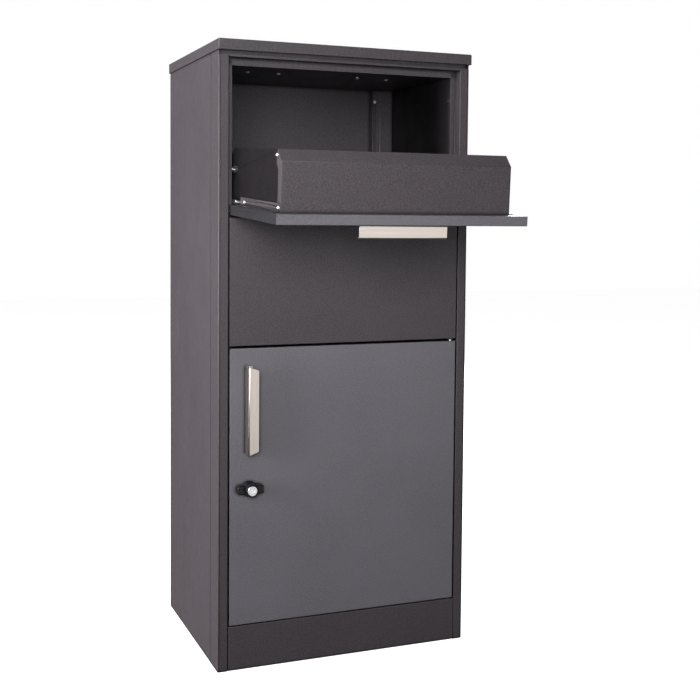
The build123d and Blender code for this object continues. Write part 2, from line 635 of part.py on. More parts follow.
KNOB_BACK = FRONT - 2.6
with BuildPart() as lock_knob:
    # Wing grip on a round base, with the barrel that the lock cylinder sits in
    with BuildSketch(front_plane(KNOB_BACK)):
        with Locations((LOCK_X, LOCK_Z)):
            Circle(11.8)
    extrude(amount=4.0)
    fillet(lock_knob.faces().sort_by(Axis.Y)[0].edges(), radius=1.2)
    with BuildSketch(front_plane(KNOB_BACK)):
        with Locations((LOCK_X, LOCK_Z)):
            RectangleRounded(WING_SPAN, WING_HEIGHT, 3.0)
    extrude(amount=9.5)
    fillet(lock_knob.faces().sort_by(Axis.Y)[0].edges(), radius=1.6)
    with BuildSketch(front_plane(KNOB_BACK)):
        with Locations((LOCK_X, LOCK_Z)):
            Circle(BARREL_RADIUS)
    extrude(amount=18.0)
    fillet(lock_knob.faces().sort_by(Axis.Y)[0].edges(), radius=0.9)
    with BuildSketch(front_plane(KNOB_BACK - 3.0)):
        with Locations((LOCK_X, LOCK_Z)):
            Circle(PLUG_RADIUS + FIT)
    extrude(amount=20.0, mode=Mode.SUBTRACT)
    with BuildSketch(front_plane(KNOB_BACK + 0.5)):
        with Locations((LOCK_X, LOCK_Z)):
            Circle(SPINDLE_RADIUS + FIT)
    extrude(amount=2.5, mode=Mode.SUBTRACT)

with BuildPart() as lock_spindle:
    with BuildSketch(front_plane(KNOB_BACK - 2.0)):
        with Locations((LOCK_X, LOCK_Z)):
            Circle(SPINDLE_RADIUS)
    extrude(amount=-(LEAF_THICKNESS + 8.0))
    with BuildSketch(front_plane(KNOB_BACK - 2.0 + LEAF_THICKNESS + 8.0)):
        with Locations((LOCK_X, LOCK_Z)):
            Rectangle(6.0, 6.0)
    extrude(amount=-4.0)

with BuildPart() as lock_plug:
    with BuildSketch(front_plane(KNOB_BACK - 3.1)):
        with Locations((LOCK_X, LOCK_Z)):
            Circle(PLUG_RADIUS)
    extrude(amount=15.4)
    fillet(lock_plug.faces().sort_by(Axis.Y)[0].edges(), radius=0.6)
    with BuildSketch(front_plane(KNOB_BACK - 18.6)):
        with Locations((LOCK_X, LOCK_Z)):
            Rectangle(6.4, 1.4)
            Rectangle(2.2, 2.6)
    extrude(amount=-7.0, mode=Mode.SUBTRACT)

CAM_FRONT = KNOB_BACK - 2.0 + LEAF_THICKNESS + 8.0
with BuildPart() as lock_cam:
    # Points straight down while the lock is open
    with BuildSketch(front_plane(CAM_FRONT + 2.5)):
        with Locations((LOCK_X, LOCK_Z - 12.5)):
            SlotOverall(42.0, 17.0, rotation=90)
        with Locations((LOCK_X, LOCK_Z)):
            Rectangle(6.0 + 2 * FIT, 6.0 + 2 * FIT, mode=Mode.SUBTRACT)
    extrude(amount=2.45)

with BuildPart() as lock_cam_screw:
    with BuildSketch(front_plane(CAM_FRONT + 4.02)):
        with Locations((LOCK_X, LOCK_Z)):
            RegularPolygon(radius=5.5, side_count=6)
    extrude(amount=-3.0)

# ---------------------------------------------------------------- flap
with BuildPart() as flap_panel:
    with BuildSketch(flap_face(FLAP_INNER)):
        with Locations((0, -(FLAP_REACH - FLAP_HEEL) / 2)):
            Rectangle(2 * LEAF_HALF, FLAP_REACH + FLAP_HEEL)
    extrude(amount=-LEAF_THICKNESS)
    outer_face = flap_panel.faces().sort_by(Axis(PIVOT, INWARD))[0]
    fillet(outer_face.edges(), radius=BEND - 0.5)
    with BuildSketch(flap_face(FLAP_INNER)):
        with Locations((0, -(FLAP_REACH - FLAP_HEEL) / 2)):
            Rectangle(2 * (LEAF_HALF - SHEET), FLAP_REACH + FLAP_HEEL - 2 * SHEET)
    extrude(amount=-(LEAF_THICKNESS - SHEET), mode=Mode.SUBTRACT)
    # Clear the stop flanges behind the hinged edge as the flap swings
    with BuildSketch(flap_section()):
        add(polygon([(-2.0, FLAP_INNER), (-FLAP_HEEL, FLAP_INNER - 5.0), (-FLAP_HEEL, FLAP_INNER)]))
    extrude(amount=LEAF_HALF, both=True, mode=Mode.SUBTRACT)
    with BuildSketch(flap_section()):
        Circle(PIN_RADIUS + FIT)
    extrude(amount=LEAF_HALF, both=True, mode=Mode.SUBTRACT)
    with BuildSketch(FLAP_PULL):
        with Locations(*HANDLE_SCREW_SPOTS):
            Circle(SCREW_RADIUS + FIT)
    extrude(amount=-2 * SHEET, mode=Mode.SUBTRACT)

with BuildPart() as flap_inner_panel:
    with BuildSketch(flap_face(FLAP_INNER)):
        with Locations((0, -(FLAP_REACH - SHEET - FIT - 1.5) / 2)):
            Rectangle(2 * (LEAF_HALF - SHEET - FIT), FLAP_REACH - SHEET - FIT + 1.5)
    extrude(amount=-SHEET)

with BuildPart() as flap_pivot_pins:
    with BuildSketch(flap_section(-(LEAF_HALF - SHEET - 0.02))):
        RegularPolygon(radius=4.5, side_count=6)
    extrude(amount=-4)
    with BuildSketch(flap_section(-(LEAF_HALF - SHEET - 0.02))):
        Circle(PIN_RADIUS)
    extrude(amount=8.0)
    mirror(about=Plane.YZ)

with BuildPart() as flap_hinge_bars:
    # Plated bars along the outsides of the tray walls, just behind the angles
    with BuildSketch(flap_section(-TRAY_HALF - 0.02)):
        with Locations((-19.0, FLAP_INNER + 5.5)):
            RectangleRounded(46.0, 5.0, 1.5)
    extrude(amount=STOP_TIP - TRAY_HALF - 0.8)
    mirror(about=Plane.YZ)

# ---------------------------------------------------------------- tray
TRAY_OUTLINE = [
    (PLATE_REACH - SHEET - FIT, FLAP_INNER + 0.1),
    (PLATE_REACH - SHEET - FIT, PLATE_TOP - 0.6),
    (PLATE_REACH - PLATE_LIP - SHEET, PLATE_TOP + PLATE_LIP - 1.2),
    (PLATE_REACH - PLATE_LIP - SHEET - 2.0, TRAY_TOP),
    (-30.0, TRAY_TOP),
    (-BAFFLE_REACH, 34.0),
    (-BAFFLE_REACH, BAFFLE_INNER),
    (-4.0, BAFFLE_INNER),
    (0.0, FLAP_INNER + 0.1),
]

with BuildPart() as tray_side_left:
    with BuildSketch(flap_section(-TRAY_HALF)):
        add(polygon(TRAY_OUTLINE))
        with Locations(*TRAY_SCREW_SPOTS):
            Circle(SCREW_RADIUS + FIT, mode=Mode.SUBTRACT)
        with Locations((-STOP_BOLT_BACK, STOP_BOLT_INNER)):
            Circle(STOP_BOLT_RADIUS + FIT, mode=Mode.SUBTRACT)
    extrude(amount=-SHEET)

with BuildPart() as tray_side_right:
    mirror(tray_side_left.part, about=Plane.YZ)

with BuildPart() as tray_front_plate:
    with BuildSketch(flap_section()):
        add(folded([(PLATE_REACH - PLATE_FOOT, FLAP_INNER + 0.1), (PLATE_REACH, FLAP_INNER + 0.1),
                    (PLATE_REACH, PLATE_TOP), (PLATE_REACH - PLATE_LIP, PLATE_TOP + PLATE_LIP)],
                   Side.LEFT))
    extrude(amount=TRAY_HALF - SHEET - FIT, both=True)
    # The face and lip run on over the side walls, and a flange turns back outside each
    with BuildSketch(flap_section()):
        add(folded([(PLATE_REACH, FLAP_INNER + 0.1), (PLATE_REACH, PLATE_TOP),
                    (PLATE_REACH - PLATE_LIP, PLATE_TOP + PLATE_LIP)], Side.LEFT))
    extrude(amount=PLATE_HALF, both=True)
    for side in (-1, 1):
        with BuildSketch(flap_section(side * PLATE_HALF)):
            add(polygon([(PLATE_REACH - 0.6, FLAP_INNER + ANGLE_LEG + 0.6),
                         (PLATE_REACH - 0.6, PLATE_TOP - 0.4),
                         (PLATE_REACH - PLATE_LIP, PLATE_TOP + PLATE_LIP - 1.2),
                         (PLATE_REACH - PLATE_LIP - 6.0, PLATE_TOP + PLATE_LIP - 6.0),
                         (PLATE_REACH - PLATE_LIP - 6.0, PLATE_TOP - 4.0),
                         (PLATE_REACH - 14.0, PLATE_TOP - 12.0),
                         (PLATE_REACH - 14.0, FLAP_INNER + ANGLE_LEG + 0.6)]))
            with Locations(TRAY_SCREW_SPOTS[2]):
                Circle(SCREW_RADIUS + FIT, mode=Mode.SUBTRACT)
        extrude(amount=side * SHEET)

with BuildPart() as tray_angle_left:
    with BuildSketch(flap_cross(ANGLE_REAR)):
        add(folded([(-PLATE_HALF - ANGLE_FOOT, FLAP_INNER + 0.02), (-TRAY_HALF - FIT, FLAP_INNER + 0.02),
                    (-TRAY_HALF - FIT, FLAP_INNER + ANGLE_LEG)], Side.LEFT))
    extrude(amount=PLATE_REACH - 3.0 - ANGLE_REAR)
    with BuildSketch(flap_section(-TRAY_HALF)):
        with Locations(*TRAY_SCREW_SPOTS[:2]):
            Circle(SCREW_RADIUS + FIT)
    extrude(amount=2 * SHEET, mode=Mode.SUBTRACT)

with BuildPart() as tray_angle_right:
    mirror(tray_angle_left.part, about=Plane.YZ)

with BuildPart() as tray_screws:
    for spots, seat in ((TRAY_SCREW_SPOTS[:3], PLATE_HALF), (TRAY_SCREW_SPOTS[3:], TRAY_HALF)):
        with BuildSketch(flap_section(-seat - 0.02)):
            with Locations(*spots):
                Circle(SCREW_HEAD_RADIUS)
        extrude(amount=SCREW_HEAD)
        with BuildSketch(flap_section(-seat - 0.02)):
            with Locations(*spots):
                Circle(SCREW_RADIUS)
        extrude(amount=-5.0)
    fillet(tray_screws.edges().filter_by(GeomType.CIRCLE).group_by(Axis.X)[0], radius=1.2)
    mirror(about=Plane.YZ)

with BuildPart() as tray_stop_bolts:
    with BuildSketch(flap_section(-TRAY_HALF + SHEET + 0.02)):
        with Locations((-STOP_BOLT_BACK, STOP_BOLT_INNER)):
            RegularPolygon(radius=6.0, side_count=6)
    extrude(amount=-3.5)
    with BuildSketch(flap_section(-TRAY_HALF + SHEET + 0.02)):
        with Locations((-STOP_BOLT_BACK, STOP_BOLT_INNER)):
            Circle(STOP_BOLT_RADIUS)
    extrude(amount=17.0)
    mirror(about=Plane.YZ)

with BuildPart() as tray_stop_nuts:
    with BuildSketch(flap_section(-TRAY_HALF - 0.02)):
        with Locations((-STOP_BOLT_BACK, STOP_BOLT_INNER)):
            RegularPolygon(radius=6.4, side_count=6)
            Circle(STOP_BOLT_RADIUS + FIT, mode=Mode.SUBTRACT)
    extrude(amount=4.5)
    mirror(about=Plane.YZ)

with BuildPart() as retrieval_baffle:
    baffle_half = TRAY_HALF - SHEET - FIT
    with BuildSketch(flap_section()):
        add(folded([(22, FLAP_INNER + 0.1), (1, FLAP_INNER + 0.1), (-4, BAFFLE_INNER),
                    (-BAFFLE_REACH, BAFFLE_INNER), (-BAFFLE_REACH, BAFFLE_INNER + BAFFLE_HEM)], Side.RIGHT))
    extrude(amount=baffle_half, both=True)
    for side in (-1, 1):
        with BuildSketch(flap_section(side * baffle_half)):
            add(polygon([(-6, BAFFLE_INNER + 0.2), (-6, BAFFLE_INNER + BAFFLE_HEM + 4),
                         (-BAFFLE_REACH + BEND, BAFFLE_INNER + BAFFLE_HEM + 4),
                         (-BAFFLE_REACH + BEND, BAFFLE_INNER + 0.2)]))
            with Locations(*TRAY_SCREW_SPOTS[3:]):
                Circle(SCREW_RADIUS + FIT, mode=Mode.SUBTRACT)
        extrude(amount=side * SHEET)

# ---------------------------------------------------------------- one STEP per piece
PIECES = {
    "lid": lid,
    "lid_rail_left": lid_rail_left,
    "lid_rail_right": lid_rail_right,
    "roof_panel": roof_panel,
    "lid_screws": lid_screws,
    "front_post_left": front_post_left,
    "front_post_right": front_post_right,
    "top_rail": top_rail,
    "plinth": plinth,
    "side_panel_left": side_panel_left,
    "side_panel_right": side_panel_right,
    "side_studs": side_studs,
    "rear_post_left": rear_post_left,
    "rear_post_right": rear_post_right,
    "rear_post_screws": rear_post_screws,
    "back_panel": back_panel,
    "base_panel": base_panel,
    "middle_panel": middle_panel,
    "panel_screws": panel_screws,
    "bumpers": bumpers,
    "flap_bushes": flap_bushes,
    "door_bushes": door_bushes,
    "door_panel": door_panel,
    "door_inner_panel": door_inner_panel,
    "door_hinge_pins": door_hinge_pins,
    "door_handle": door_handle,
    "door_handle_screws": door_handle_screws,
    "lock_escutcheon": lock_escutcheon,
    "lock_nut": lock_nut,
    "lock_knob": lock_knob,
    "lock_spindle": lock_spindle,
    "lock_plug": lock_plug,
    "lock_cam": lock_cam,
    "lock_cam_screw": lock_cam_screw,
    "flap_panel": flap_panel,
    "flap_inner_panel": flap_inner_panel,
    "flap_pivot_pins": flap_pivot_pins,
    "flap_hinge_bars": flap_hinge_bars,
    "flap_handle": flap_handle,
    "flap_handle_screws": flap_handle_screws,
    "tray_side_left": tray_side_left,
    "tray_side_right": tray_side_right,
    "tray_front_plate": tray_front_plate,
    "tray_angle_left": tray_angle_left,
    "tray_angle_right": tray_angle_right,
    "tray_screws": tray_screws,
    "tray_stop_bolts": tray_stop_bolts,
    "tray_stop_nuts": tray_stop_nuts,
    "retrieval_baffle": retrieval_baffle,
}

for name, piece in PIECES.items():
    piece.part.label = name
    export_step(piece.part, f"parts/{name}.step")
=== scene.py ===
import json
import math

import bmesh
import bpy
from mathutils import Matrix, Vector


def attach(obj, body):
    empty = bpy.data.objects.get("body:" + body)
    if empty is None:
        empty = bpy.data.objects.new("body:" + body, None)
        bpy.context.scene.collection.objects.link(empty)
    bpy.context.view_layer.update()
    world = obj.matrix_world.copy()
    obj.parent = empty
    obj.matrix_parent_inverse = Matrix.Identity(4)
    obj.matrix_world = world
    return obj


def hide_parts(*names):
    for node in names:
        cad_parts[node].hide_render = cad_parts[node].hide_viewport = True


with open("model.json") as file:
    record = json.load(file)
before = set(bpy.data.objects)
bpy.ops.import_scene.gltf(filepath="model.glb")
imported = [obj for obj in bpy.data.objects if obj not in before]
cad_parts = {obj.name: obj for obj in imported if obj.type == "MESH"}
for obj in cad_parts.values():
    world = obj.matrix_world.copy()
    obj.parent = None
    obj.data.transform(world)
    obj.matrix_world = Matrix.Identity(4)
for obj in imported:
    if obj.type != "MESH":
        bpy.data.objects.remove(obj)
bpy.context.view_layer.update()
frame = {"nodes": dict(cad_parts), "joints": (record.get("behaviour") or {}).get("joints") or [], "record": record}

# ---------------------------------------------------------------- places taken from the frame
NODES = frame["nodes"]
JOINTS = {joint["name"]: joint for joint in frame["joints"]}
LOCK = Vector(JOINTS["knob_turn"]["pos_m"])
DROOP = math.radians(3.3)  # the flap hangs this far past level when it is open
INWARD = Vector((0, -math.sin(DROOP), math.cos(DROOP)))
LEFT, RIGHT = Vector((-1, 0, 0)), Vector((1, 0, 0))
FRONT, BACK, DOWN = Vector((0, -1, 0)), Vector((0, 1, 0)), Vector((0, 0, -1))
SLOTS = {part["node"]: part["material_slot"] for part in frame["record"]["subparts"]}
BODY_OF = {node: body for body, nodes in frame["record"]["behaviour"]["bodies"].items()
           for node in nodes}

# ---------------------------------------------------------------- camera, fitted to the photo
CAMERA_PLACE = Vector((-0.6833, -1.886, 0.7279))
CAMERA_YAW = math.radians(21.803)
CAMERA_PITCH = math.radians(-3.229)
CAMERA_ROLL = math.radians(0.491)
CAMERA_FOCAL = 1.622143  # focal length over the picture's width
CAMERA_SHIFT = -0.1
ROOM_LIGHT = 0.08
FLOOR_HALF = 8.0
FLOOR_GLOW = 0.93


def make_camera():
    forward = Vector((math.sin(CAMERA_YAW) * math.cos(CAMERA_PITCH),
                      math.cos(CAMERA_YAW) * math.cos(CAMERA_PITCH), math.sin(CAMERA_PITCH)))
    level = Vector((math.cos(CAMERA_YAW), -math.sin(CAMERA_YAW), 0))
    above = level.cross(forward)
    right = level * math.cos(CAMERA_ROLL) + above * math.sin(CAMERA_ROLL)
    up = above * math.cos(CAMERA_ROLL) - level * math.sin(CAMERA_ROLL)
    data = bpy.data.cameras.new("camera")
    data.sensor_width = 36
    data.lens = CAMERA_FOCAL * data.sensor_width
    data.shift_y = CAMERA_SHIFT
    data.clip_end = 50
    camera = bpy.data.objects.new("camera", data)
    turn = Matrix((right, up, -forward)).transposed()
    camera.matrix_world = Matrix.Translation(CAMERA_PLACE) @ turn.to_4x4()
    bpy.context.scene.collection.objects.link(camera)
    bpy.context.scene.camera = camera


# ---------------------------------------------------------------- light and floor
def area_light(name, place, target, size, power):
    data = bpy.data.lights.new(name, "AREA")
    data.shape = "RECTANGLE"
    data.size, data.size_y = size
    data.energy = power
    light = bpy.data.objects.new(name, data)
    light.location = place
    light.rotation_euler = (Vector(target) - Vector(place)).to_track_quat("-Z", "Y").to_euler()
    bpy.context.scene.collection.objects.link(light)
    return light


def make_world():
    """White behind the object, and a dim studio for what lights it."""
    world = bpy.data.worlds.new("studio")
    bpy.context.scene.world = world
    world.use_nodes = True
    nodes, links = world.node_tree.nodes, world.node_tree.links
    backdrop = nodes["Background"]
    backdrop.inputs["Color"].default_value = (1, 1, 1, 1)
    room = nodes.new("ShaderNodeBackground")
    room.inputs["Color"].default_value = (1, 1, 1, 1)
    room.inputs["Strength"].default_value = ROOM_LIGHT
    path = nodes.new("ShaderNodeLightPath")
    mix = nodes.new("ShaderNodeMixShader")
    links.new(path.outputs["Is Camera Ray"], mix.inputs[0])
    links.new(room.outputs[0], mix.inputs[1])
    links.new(backdrop.outputs[0], mix.inputs[2])
    links.new(mix.outputs[0], nodes["World Output"].inputs["Surface"])


def make_floor():
    """A pale floor that glows a little, so it stays as even as the backdrop behind it."""
    half = FLOOR_HALF
    mesh = bpy.data.meshes.new("floor")
    mesh.from_pydata([(-half, -half, 0), (half, -half, 0), (half, half, 0), (-half, half, 0)], [],
                     [(0, 1, 2, 3)])
    floor = bpy.data.objects.new("floor", mesh)
    bpy.context.scene.collection.objects.link(floor)
    material, shader, _ = new_material("floor")
    shader.inputs["Base Color"].default_value = (0.55, 0.55, 0.55, 1)
    shader.inputs["Roughness"].default_value = 0.9
    shader.inputs["Specular IOR Level"].default_value = 0.1
    shader.inputs["Emission Color"].default_value = (1, 1, 1, 1)
    shader.inputs["Emission Strength"].default_value = FLOOR_GLOW
    mesh.materials.append(material)
    # It doesn't throw light back up at the object
    floor.visible_diffuse = False
    floor.visible_glossy = False


def shade(light, names):
    """A studio flag: these nodes get none of the light."""
    shaded = bpy.data.collections.new(light.name + "_flag")
    for name in names:
        shaded.objects.link(NODES[name])
    for child in shaded.collection_objects:
        child.light_linking.link_state = "EXCLUDE"
    light.light_linking.receiver_collection = shaded


def make_studio():
    make_world()
    make_floor()
    middle = (0, 0, 0.5)
    left = area_light("left", (-2.9, -0.28, 1.1), middle, (1.4, 2.0), 178)
    shade(left, ("tray_side_left", "flap_panel", "flap_inner_panel", "door_handle", "flap_handle"))
    front = area_light("front", (-0.80, -1.9, 1.10), (-0.10, 0, 0.95), (0.8, 0.8), 11.0)
    front.data.spread = math.radians(95)
    shade(front, ("side_panel_right",))
    area_light("card", (0.75, -2.2, 0.35), middle, (1.4, 1.3), 7)
    area_light("edge_card", (-2.2, -0.76, 0.15), (-0.17, -0.2, 0.4), (0.8, 1.4), 9)
    area_light("back_right", (2.4, 2.3, 1.5), middle, (1.6, 2.0), 170)
    area_light("above", (0.2, -0.4, 3.2), middle, (1.5, 1.5), 9)
    bpy.context.scene.view_settings.view_transform = "Standard"


# ---------------------------------------------------------------- node helpers
def new_material(name):
    material = bpy.data.materials.new(name)
    material.use_nodes = True
    return material, material.node_tree.nodes["Principled BSDF"], material.node_tree.links


def add_node(material, kind, settings=None, **inputs):
    """New node. settings are its properties; inputs are named sockets, given a value or an output."""
    node = material.node_tree.nodes.new(kind)
    for key, value in (settings or {}).items():
        setattr(node, key, value)
    for key, value in inputs.items():
        socket = node.inputs[key.replace("_", " ")]
        if isinstance(value, bpy.types.NodeSocket):
            material.node_tree.links.new(value, socket)
        else:
            socket.default_value = value
    return node


def position(material, stretch=(1, 1, 1)):
    """The object's own coordinates, in metres, scaled along each axis."""
    place = add_node(material, "ShaderNodeTexCoord").outputs["Object"]
    return add_node(material, "ShaderNodeMapping", Vector=place, Scale=stretch).outputs["Vector"]


def noise(material, scale, detail=3.0, stretch=(1, 1, 1), roughness=0.55):
    node = add_node(material, "ShaderNodeTexNoise", Vector=position(material, stretch), Scale=scale,
                    Detail=detail, Roughness=roughness)
    return node.outputs["Fac"]


def remap(material, value, low, high, to_low, to_high):
    node = add_node(material, "ShaderNodeMapRange", Value=value)
    node.inputs["From Min"].default_value = low
    node.inputs["From Max"].default_value = high
    node.inputs["To Min"].default_value = to_low
    node.inputs["To Max"].default_value = to_high
    return node.outputs["Result"]


def mix_colour(material, factor, first, second, blend="MIX"):
    node = material.node_tree.nodes.new("ShaderNodeMix")
    node.data_type = "RGBA"
    node.blend_type = blend
    for socket, value in ((node.inputs[0], factor), (node.inputs[6], first), (node.inputs[7], second)):
        if isinstance(value, bpy.types.NodeSocket):
            material.node_tree.links.new(value, socket)
        else:
            socket.default_value = value
    return node.outputs[2]


def bump(material, height, distance, strength=1.0, under=None):
    node = add_node(material, "ShaderNodeBump", Height=height, Distance=distance, Strength=strength)
    if under is not None:
        material.node_tree.links.new(under, node.inputs["Normal"])
    return node.outputs["Normal"]


def edge_mask(material, radius):
    """1 on sharp edges and 0 on flat faces."""
    rounded = add_node(material, "ShaderNodeBevel", {"samples": 4}, Radius=radius).outputs["Normal"]
    flat = add_node(material, "ShaderNodeNewGeometry").outputs["Normal"]
    dot = material.node_tree.nodes.new("ShaderNodeVectorMath")
    dot.operation = "DOT_PRODUCT"
    material.node_tree.links.new(rounded, dot.inputs[0])
    material.node_tree.links.new(flat, dot.inputs[1])
    return remap(material, dot.outputs["Value"], 0.995, 0.90, 0.0, 1.0)


# ---------------------------------------------------------------- materials
def powder_coat(name, colour, speck, roughness):
    """Fine-textured powder coat: grainy specks, a low orange peel, paler, smoother edges, and painted shade
    darkening its seams, gaps and inner corners.
    """
    material, shader, links = new_material(name)
    dark = (*[c * 0.86 for c in colour], 1)
    light = (*[min(1, c * 1.12) for c in colour], 1)
    patches = remap(material, noise(material, 6.0, 4.0), 0.3, 0.7, 0.0, 1.0)
    base = mix_colour(material, patches, dark, light)
    grit = remap(material, noise(material, 520.0, 4.0, roughness=0.75), 0.42, 0.62, 0.0, 1.0)
    base = mix_colour(material, grit, base, (*speck, 1))
    worn = mix_colour(material, edge_mask(material, 0.0009), base, (*[c * 1.3 for c in colour], 1))
    # Painted shade: ambient occlusion darkens the base colour towards near black in seams, gaps and inner corners
    occlusion = add_node(material, "ShaderNodeAmbientOcclusion", {"samples": 6}, Distance=0.006).outputs["AO"]
    painted_shade = remap(material, occlusion, 0.55, 0.92, 0.0, 1.0)
    links.new(mix_colour(material, painted_shade, (*[c * 0.10 for c in colour], 1), worn),
              shader.inputs["Base Color"])
    shine = remap(material, noise(material, 35.0, 5.0), 0.3, 0.7, roughness - 0.05, roughness + 0.06)
    links.new(shine, shader.inputs["Roughness"])
    peel = bump(material, noise(material, 420.0, 2.0), 0.00010, 0.55)
    grain = bump(material, noise(material, 1100.0, 2.0), 0.00012, 0.8, peel)
    links.new(grain, shader.inputs["Normal"])
    shader.inputs["Specular IOR Level"].default_value = 0.42
    return material


def brushed(name, colour, stretch, roughness=0.30):
    """Brushed steel: long fine scratches along the axis with the smallest stretch."""
    material, shader, links = new_material(name)
    streaks = noise(material, 60.0, 6.0, stretch, 0.7)
    fine = noise(material, 260.0, 3.0, stretch, 0.6)
    base = mix_colour(material, remap(material, streaks, 0.3, 0.7, 0.0, 1.0),
                      (*[c * 0.74 for c in colour], 1), (*[c * 1.04 for c in colour], 1))
    base = mix_colour(material, remap(material, fine, 0.58, 0.75, 0.0, 0.35), base,
                      (*[min(1, c * 1.2) for c in colour], 1))
    links.new(base, shader.inputs["Base Color"])
    links.new(remap(material, streaks, 0.3, 0.7, roughness - 0.06, roughness + 0.08),
              shader.inputs["Roughness"])
    links.new(bump(material, fine, 0.00004, 0.6), shader.inputs["Normal"])
    shader.inputs["Metallic"].default_value = 1.0
    shader.inputs["Anisotropic"].default_value = 0.45
    return material


def zinc(name):
    """Bright zinc plate, faintly clouded and duller in places."""
    material, shader, links = new_material(name)
    cloud = noise(material, 260.0, 4.0)
    base = mix_colour(material, remap(material, cloud, 0.3, 0.7, 0.0, 1.0),
                      (0.50, 0.50, 0.50, 1), (0.76, 0.76, 0.74, 1))
    tint = mix_colour(material, remap(material, noise(material, 90.0), 0.45, 0.7, 0.0, 0.35), base,
                      (0.66, 0.68, 0.75, 1))
    links.new(tint, shader.inputs["Base Color"])
    links.new(remap(material, cloud, 0.3, 0.7, 0.24, 0.42), shader.inputs["Roughness"])
    links.new(bump(material, noise(material, 1500.0, 2.0), 0.00003, 0.5), shader.inputs["Normal"])
    shader.inputs["Metallic"].default_value = 1.0
    return material


def moulded(name, colour, roughness, grain, depth=0.00005):
    """Moulded plastic or rubber with a fine grain and slight colour drift."""
    material, shader, links = new_material(name)
    base = mix_colour(material, remap(material, noise(material, 120.0, 4.0), 0.3, 0.7, 0.0, 1.0),
                      (*[c * 0.8 for c in colour], 1), (*[min(1, c * 1.15) for c in colour], 1))
    links.new(base, shader.inputs["Base Color"])
    links.new(remap(material, noise(material, 300.0, 3.0), 0.3, 0.7, roughness - 0.05, roughness + 0.07),
              shader.inputs["Roughness"])
    links.new(bump(material, noise(material, grain, 2.0), depth, 0.6), shader.inputs["Normal"])
    shader.inputs["Specular IOR Level"].default_value = 0.32
    return material


def chrome(name):
    """Bright chrome with fine turned rings about the lock's axis."""
    material, shader, links = new_material(name)
    place = add_node(material, "ShaderNodeTexCoord").outputs["Object"]
    centred = add_node(material, "ShaderNodeMapping", Vector=place,
                       Location=(-LOCK.x, 0, -LOCK.z)).outputs["Vector"]
    rings = add_node(material, "ShaderNodeTexWave",
                     {"wave_type": "RINGS", "rings_direction": "Y", "wave_profile": "SIN"},
                     Vector=centred, Scale=900.0, Distortion=0.6, Detail=2.0).outputs["Fac"]
    base = mix_colour(material, remap(material, noise(material, 220.0, 4.0), 0.35, 0.65, 0.0, 1.0),
                      (0.62, 0.62, 0.63, 1), (0.84, 0.84, 0.85, 1))
    links.new(base, shader.inputs["Base Color"])
    links.new(remap(material, rings, 0.0, 1.0, 0.12, 0.20), shader.inputs["Roughness"])
    links.new(bump(material, rings, 0.00001, 0.5), shader.inputs["Normal"])
    shader.inputs["Metallic"].default_value = 1.0
    return material


BODY_COLOUR = (0.0375, 0.0312, 0.0368)
LEAF_COLOUR = (0.110, 0.105, 0.120)


def make_materials():
    return {
        "body_paint": powder_coat("body_paint", BODY_COLOUR, (0.074, 0.063, 0.073), 0.52),
        "leaf_paint": powder_coat("leaf_paint", LEAF_COLOUR, (0.150, 0.143, 0.161), 0.48),
        "handle_steel": brushed("handle_steel", (0.70, 0.63, 0.58), (1.0, 1.0, 0.03)),
        "zinc_plate": zinc("zinc_plate"),
        "lock_plastic": moulded("lock_plastic", (0.005, 0.005, 0.006), 0.26, 900.0, 0.00002),
        "lock_chrome": chrome("lock_chrome"),
        "bush_nylon": moulded("bush_nylon", (0.035, 0.035, 0.036), 0.45, 700.0),
        "bumper_rubber": moulded("bumper_rubber", (0.02, 0.02, 0.02), 0.7, 1200.0),
    }


def paint_nodes(materials):
    for name, node in NODES.items():
        node.data.materials.clear()
        node.data.materials.append(materials[SLOTS[name]])
    flap_steel = brushed("flap_handle_steel", (0.70, 0.63, 0.58), (0.03, 1.0, 1.0))
    NODES["flap_handle"].data.materials[0] = flap_steel


# ---------------------------------------------------------------- softened edges
SHEET_EDGE = 0.00055
SOLID_EDGE = 0.0005


def soften(name, width):
    """Small rounded edges on a CAD node, which catch the light as folded and cut sheet does."""
    node = NODES[name]
    weld = node.modifiers.new("weld", "WELD")
    weld.merge_threshold = 0.00001
    bevel = node.modifiers.new("bevel", "BEVEL")
    bevel.width = width
    bevel.segments = 2
    bevel.limit_method = "ANGLE"
    bevel.angle_limit = math.radians(40)
    bevel.harden_normals = True


# The back panel has no bevel, because one draws lines between its holes
SHEET_NODES = ("lid", "roof_panel", "front_post_left", "front_post_right", "top_rail", "plinth",
               "side_panel_left", "side_panel_right", "rear_post_left", "rear_post_right",
               "middle_panel", "door_panel", "door_inner_panel", "flap_panel",
               "flap_inner_panel", "tray_side_left", "tray_side_right", "tray_front_plate",
               "tray_angle_left", "tray_angle_right", "retrieval_baffle")
SOLID_NODES = ("flap_handle", "door_handle", "lock_escutcheon", "flap_hinge_bars", "lock_cam")


def soften_edges():
    for name in SHEET_NODES:
        soften(name, SHEET_EDGE)
    for name in SOLID_NODES:
        soften(name, SOLID_EDGE)


# ---------------------------------------------------------------- fasteners
RING_STEPS = 48
THREAD_STEPS = 24
THREAD_PITCH = 0.0007
THREAD_ROOT = 0.96  # the thread's foot over the rod's radius, so that it is sunk in the rod
THREAD_SPLIT = math.radians(35)


def separate_solids(name):
    """The points of each separate solid in a node."""
    mesh = bmesh.new()
    mesh.from_mesh(NODES[name].data)
    bmesh.ops.remove_doubles(mesh, verts=mesh.verts, dist=1e-6)
    seen = set()
    solids = []
    for first in mesh.verts:
        if first in seen:
            continue
        seen.add(first)
        reached = [first]
        for vert in reached:
            for edge in vert.link_edges:
                near = edge.other_vert(vert)
                if near not in seen:
                    seen.add(near)
                    reached.append(near)
        solids.append([vert.co.copy() for vert in reached])
    mesh.free()
    return solids


